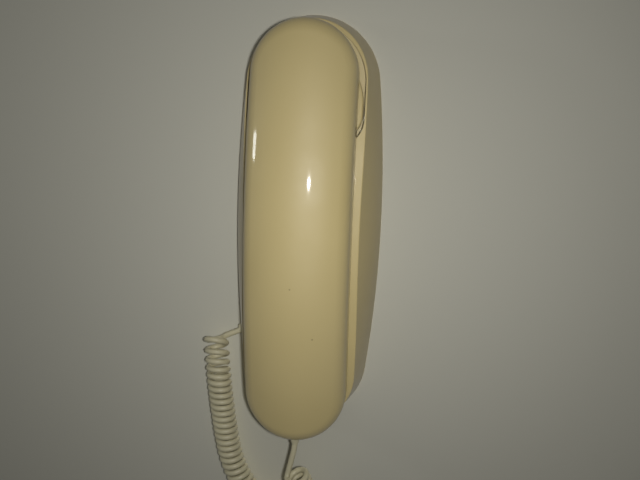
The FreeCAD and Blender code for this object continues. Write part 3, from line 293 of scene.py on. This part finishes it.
def ivory_abs(name, pale, deep, sheen, polish):
    """ABS between two tones, with the roughness of its body and the weight of its polished skin."""
    material, tree, shader, place = new_finish(name)
    drift = add(tree, "ShaderNodeTexNoise", {"Vector": place, "Scale": 1 / DRIFT, "Detail": 3.0})
    tone = add(tree, "ShaderNodeMix", {"Factor": drift.outputs["Fac"], "A": linear(pale),
                                       "B": linear(deep)}, data_type="RGBA")
    # Specks of dirt under a millimetre across, sparse
    grit = add(tree, "ShaderNodeTexVoronoi", {"Vector": place, "Scale": 1 / SPECK_SPACING,
                                              "Randomness": 1.0})
    speck = add(tree, "ShaderNodeMapRange", {"Value": grit.outputs["Distance"], "From Min": 0.022,
                                             "From Max": 0.034, "To Min": 0.55, "To Max": 0.0})
    colour = add(tree, "ShaderNodeMix", {"Factor": speck.outputs["Result"],
                                         "A": tone.outputs["Result"],
                                         "B": linear("#6E6038")}, data_type="RGBA")
    tree.links.new(colour.outputs["Result"], shader.inputs["Base Color"])
    # Under a polished skin the plastic scatters: a broad sheen, which handling dulls in patches
    rub = add(tree, "ShaderNodeTexNoise", {"Vector": place, "Scale": 1 / DULLED, "Detail": 4.0})
    rough = add(tree, "ShaderNodeMapRange", {"Value": rub.outputs["Fac"], "From Min": 0.3,
                                             "From Max": 0.7, "To Min": sheen,
                                             "To Max": sheen + 0.08})
    tree.links.new(rough.outputs["Result"], shader.inputs["Roughness"])
    shader.inputs["Coat Weight"].default_value = polish
    shader.inputs["Coat Roughness"].default_value = 0.06
    shader.inputs["IOR"].default_value = 1.53
    # Ripple left by the mould, and a fine grain over it
    ripple = add(tree, "ShaderNodeTexNoise", {"Vector": place, "Scale": 1 / RIPPLE, "Detail": 1.0})
    grain = add(tree, "ShaderNodeTexNoise", {"Vector": place, "Scale": 1 / GRAIN, "Detail": 1.0})
    waves = add(tree, "ShaderNodeBump", {"Height": ripple.outputs["Fac"], "Strength": 0.05,
                                         "Distance": 0.0006})
    skin = add(tree, "ShaderNodeBump", {"Height": grain.outputs["Fac"], "Strength": 0.06,
                                        "Distance": 0.00008, "Normal": waves.outputs["Normal"]})
    tree.links.new(skin.outputs["Normal"], shader.inputs["Normal"])
    return material


ivory = ivory_abs("aged_ivory_abs", "#C4B380", "#B8A66F", sheen=0.48, polish=0.5)
wear(["handset_back", "handset_face", "base_housing", "rear_cover", "handset_hook", "hook_plunger"], ivory)
key_names = [name for name in nodes if name.startswith("key_") and name != "key_mat"]
wear(key_names, ivory_abs("key_abs", "#D8CDA6", "#CFC294", sheen=0.46, polish=0.1))

# %% [markdown]
# ## Key figures
# The keys' figures are pad-printed: a film of dark ink on the cap, too thin to feel. Text is the
# quickest way to get clean figures. Each one is made a mesh, set on its key's cap and rides with it.

# %% Printing ink
# Ink is matt, and thinner in spots, so that it isn't one flat black
THIN_SPOT = 0.0009

ink, tree, shader, place = new_finish("pad_printing_ink")
thin = add(tree, "ShaderNodeTexNoise", {"Vector": place, "Scale": 1 / THIN_SPOT, "Detail": 3.0})
tint = add(tree, "ShaderNodeMix", {"Factor": thin.outputs["Fac"], "A": linear("#2E2A22"),
                                   "B": linear("#4A443A")}, data_type="RGBA")
tree.links.new(tint.outputs["Result"], shader.inputs["Base Color"])
shader.inputs["Roughness"].default_value = 0.55
print("ink ready")

# %% Key figures
# A star stands high and small in its line of type, so it is set larger
FIGURE_HEIGHT = 0.0064
STAR_HEIGHT = 0.0110
INK_FILM = 0.00004
FIGURES = {"star": "*", "hash": "#"}
FACING_BACK = (math.radians(90), 0, math.radians(180))

for name in key_names:
    sort = name.removeprefix("key_")
    low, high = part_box(name)
    bpy.ops.object.select_all(action="DESELECT")
    bpy.ops.object.text_add(rotation=FACING_BACK)
    figure = bpy.context.object
    figure.name = f"figure_{sort}"
    figure.data.body = FIGURES.get(sort, sort)
    figure.data.size = STAR_HEIGHT if sort == "star" else FIGURE_HEIGHT
    figure.data.extrude = INK_FILM
    bpy.ops.object.convert(target="MESH")
    bpy.ops.object.origin_set(type="ORIGIN_GEOMETRY", center="BOUNDS")
    figure.location = ((low[0] + high[0]) / 2, high[1], (low[2] + high[2]) / 2)
    bpy.ops.object.transform_apply(location=True, rotation=True, scale=True)
    figure.data.materials.append(ink)
    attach(figure, name)

# %% [markdown]
# ## Vinyl cord
# The cord's jacket is plasticised PVC. It greys rather than yellows, and it has a soft sheen. One
# noise drives both its colour and its roughness, because grime dulls the jacket where it darkens it.

# %% Cord jacket
GRIME = 0.012
PORES = 0.0005

vinyl, tree, shader, place = new_finish("grey_beige_vinyl")
dirt = add(tree, "ShaderNodeTexNoise", {"Vector": place, "Scale": 1 / GRIME, "Detail": 5.0})
jacket = add(tree, "ShaderNodeMix", {"Factor": dirt.outputs["Fac"], "A": linear("#CCC5A4"),
                                     "B": linear("#B4AD8F")}, data_type="RGBA")
tree.links.new(jacket.outputs["Result"], shader.inputs["Base Color"])
sheen = add(tree, "ShaderNodeMapRange", {"Value": dirt.outputs["Fac"], "To Min": 0.36, "To Max": 0.52})
tree.links.new(sheen.outputs["Result"], shader.inputs["Roughness"])
shader.inputs["IOR"].default_value = 1.52
# Pores break up the highlight
pores = add(tree, "ShaderNodeTexNoise", {"Vector": place, "Scale": 1 / PORES, "Detail": 2.0})
pitted = add(tree, "ShaderNodeBump", {"Height": pores.outputs["Fac"], "Strength": 0.08,
                                      "Distance": 0.0001})
tree.links.new(pitted.outputs["Normal"], shader.inputs["Normal"])
cord.data.materials.append(vinyl)
wear(["base_strain_relief", "handset_strain_relief"], vinyl)

# %% [markdown]
# ## Board lacquer
# The circuit boards are glass-epoxy under a glossy green lacquer, with paler lines where copper runs
# beneath it. A brick pattern has such lines in its joints, and that is enough for boards that stay
# inside the shells.

# %% Board lacquer
# Lines 1.2 mm wide in a grid of 20 mm
TRACK_GRID = 0.020

lacquer, tree, shader, place = new_finish("green_board_lacquer")
tracks = add(tree, "ShaderNodeTexBrick", {"Vector": place, "Scale": 1 / TRACK_GRID,
                                          "Mortar Size": 0.03, "Mortar": linear("#3C6B3B"),
                                          "Color1": linear("#23492B"), "Color2": linear("#294F2F")})
tree.links.new(tracks.outputs["Color"], shader.inputs["Base Color"])
shader.inputs["Roughness"].default_value = 0.35
wear(["base_board", "keypad_board"], lacquer)

# %% [markdown]
# ## Plated steel
# Screws and the hook's spring are zinc-plated steel, a cool grey metal with small scuffs. The scuffs
# change the roughness only, because plating keeps its colour.

# %% Plated steel
SCUFF = 0.0015

steel, tree, shader, place = new_finish("zinc_plated_steel")
scuff = add(tree, "ShaderNodeTexNoise", {"Vector": place, "Scale": 1 / SCUFF, "Detail": 3.0})
rough = add(tree, "ShaderNodeMapRange", {"Value": scuff.outputs["Fac"], "To Min": 0.25, "To Max": 0.45})
tree.links.new(rough.outputs["Result"], shader.inputs["Roughness"])
shader.inputs["Base Color"].default_value = linear("#B4B4AE")
shader.inputs["Metallic"].default_value = 1.0
wear(["rear_cover_screws", "base_board_screws", "handset_screws", "keypad_board_screws", "hook_spring"],
     steel)

# %% [markdown]
# ## Black nylon
# The switch, ringer, line socket and sound capsules are black nylon. It looks satin, and dust greys it
# in patches, so two dark tones are mixed by noise.

# %% Black nylon
DUST = 0.006

nylon, tree, shader, place = new_finish("black_nylon")
dust = add(tree, "ShaderNodeTexNoise", {"Vector": place, "Scale": 1 / DUST, "Detail": 4.0})
tint = add(tree, "ShaderNodeMix", {"Factor": dust.outputs["Fac"], "A": linear("#141413"),
                                   "B": linear("#2B2A27")}, data_type="RGBA")
tree.links.new(tint.outputs["Result"], shader.inputs["Base Color"])
shader.inputs["Roughness"].default_value = 0.5
wear(["hook_switch", "ringer", "line_jack", "receiver", "microphone"], nylon)

# %% [markdown]
# ## Grey rubber
# The key mat, the receiver's gasket and the microphone's boot are moulded rubber. It is matt, with a
# pale bloom that noise spreads over it.

# %% Grey rubber
BLOOM = 0.004

rubber, tree, shader, place = new_finish("grey_rubber")
bloom = add(tree, "ShaderNodeTexNoise", {"Vector": place, "Scale": 1 / BLOOM, "Detail": 4.0})
tint = add(tree, "ShaderNodeMix", {"Factor": bloom.outputs["Fac"], "A": linear("#4A4945"),
                                   "B": linear("#5E5C56")}, data_type="RGBA")
tree.links.new(tint.outputs["Result"], shader.inputs["Base Color"])
shader.inputs["Roughness"].default_value = 0.7
wear(["receiver_gasket", "microphone_boot", "key_mat"], rubber)

# %% [markdown]
# ## Wall
# The phone hangs on a plain pale wall. A solid wall would hide the phone's back and keep light from
# it. So this one shows from the front only, and lets lamp light and reflections past.

# %% Wall
WALL_SIDE = 3
WALL_GAP = 0.0006

bpy.ops.object.select_all(action="DESELECT")
bpy.ops.mesh.primitive_plane_add(size=WALL_SIDE, location=(0, WALL_GAP, 0),
                                 rotation=(math.radians(90), 0, 0))
wall = bpy.context.object
wall.name = "wall"
paint, tree, shader = new_finish("wall_paint")[:3]
shader.inputs["Base Color"].default_value = linear("#BDBBAD")
shader.inputs["Roughness"].default_value = 0.85
side = add(tree, "ShaderNodeNewGeometry")
ray = add(tree, "ShaderNodeLightPath")
unseen = add(tree, "ShaderNodeMath", {0: ray.outputs["Is Glossy Ray"], 1: ray.outputs["Is Shadow Ray"]},
             operation="MAXIMUM")
passing = add(tree, "ShaderNodeMath", {0: side.outputs["Backfacing"], 1: unseen.outputs["Value"]},
              operation="MAXIMUM")
clear = add(tree, "ShaderNodeBsdfTransparent")
one_sided = add(tree, "ShaderNodeMixShader", {0: passing.outputs["Value"], 1: shader.outputs["BSDF"],
                                              2: clear.outputs["BSDF"]})
tree.links.new(one_sided.outputs["Shader"], tree.nodes["Material Output"].inputs["Surface"])
wall.data.materials.append(paint)
print("wall behind the phone,", WALL_SIDE, "m wide")

# %% [markdown]
# ## Light
# A small lamp beside the lens lights the front and falls off towards the ends. A tall one on the left
# draws a line along the handset's edge, a broad one fills the room, and one behind lights the back.
# The last two would show as square reflections in the polish, so they are hidden from it.

# %% Lamps
LENS_SPREAD = math.radians(115)


def soft_lamp(name, place, wide, tall, watts, tint):
    """An oblong lamp at a place, turned to the middle of the wall screws."""
    lamp = bpy.data.lights.new(name, "AREA")
    lamp.shape = "RECTANGLE"
    lamp.size = wide
    lamp.size_y = tall
    lamp.energy = watts
    lamp.color = linear(tint)[:3]
    made = bpy.data.objects.new(name, lamp)
    made.location = place
    made.rotation_euler = (-Vector(place)).to_track_quat("-Z", "Y").to_euler()
    scene.collection.objects.link(made)
    return made


lens_lamp = soft_lamp("lens_lamp", (0.069, -0.360, 0.055), 0.012, 0.012, 0.29, "#FFFFFF")
lens_lamp.data.spread = LENS_SPREAD
soft_lamp("left_lamp", (-0.60, -0.25, 0.135), 0.04, 0.07, 0.22, "#F0F4F4")
room_lamp = soft_lamp("room_lamp", (0.20, -1.60, 0.90), 1.20, 1.20, 1.8, "#FFFFFF")
back_lamp = soft_lamp("back_lamp", (0.08, 0.70, 0.12), 0.30, 0.30, 2.6, "#FFFFFF")
for lamp in (room_lamp, back_lamp):
    lamp.visible_glossy = False
print("lamps:", [lamp.name for lamp in bpy.data.lights])

# %% [markdown]
# ## Room
# The room round the phone is a pale grey to the eye and in the polish. To everything else it is only
# a weak fill, because the lamps do the lighting.

# %% Room
ROOM_FILL = 0.03
ROOM_SEEN = 0.30

room = bpy.data.worlds.new("room")
room.use_nodes = True
tree = room.node_tree
ray = add(tree, "ShaderNodeLightPath")
seen = add(tree, "ShaderNodeMath", {0: ray.outputs["Is Camera Ray"], 1: ray.outputs["Is Glossy Ray"]},
           operation="MAXIMUM")
level = add(tree, "ShaderNodeMapRange", {"Value": seen.outputs["Value"], "To Min": ROOM_FILL,
                                         "To Max": ROOM_SEEN})
tree.links.new(level.outputs["Result"], tree.nodes["Background"].inputs["Strength"])
tree.nodes["Background"].inputs["Color"].default_value = linear("#E9E8E2")
scene.world = room
print("room at", ROOM_SEEN, "to the eye and", ROOM_FILL, "as fill")
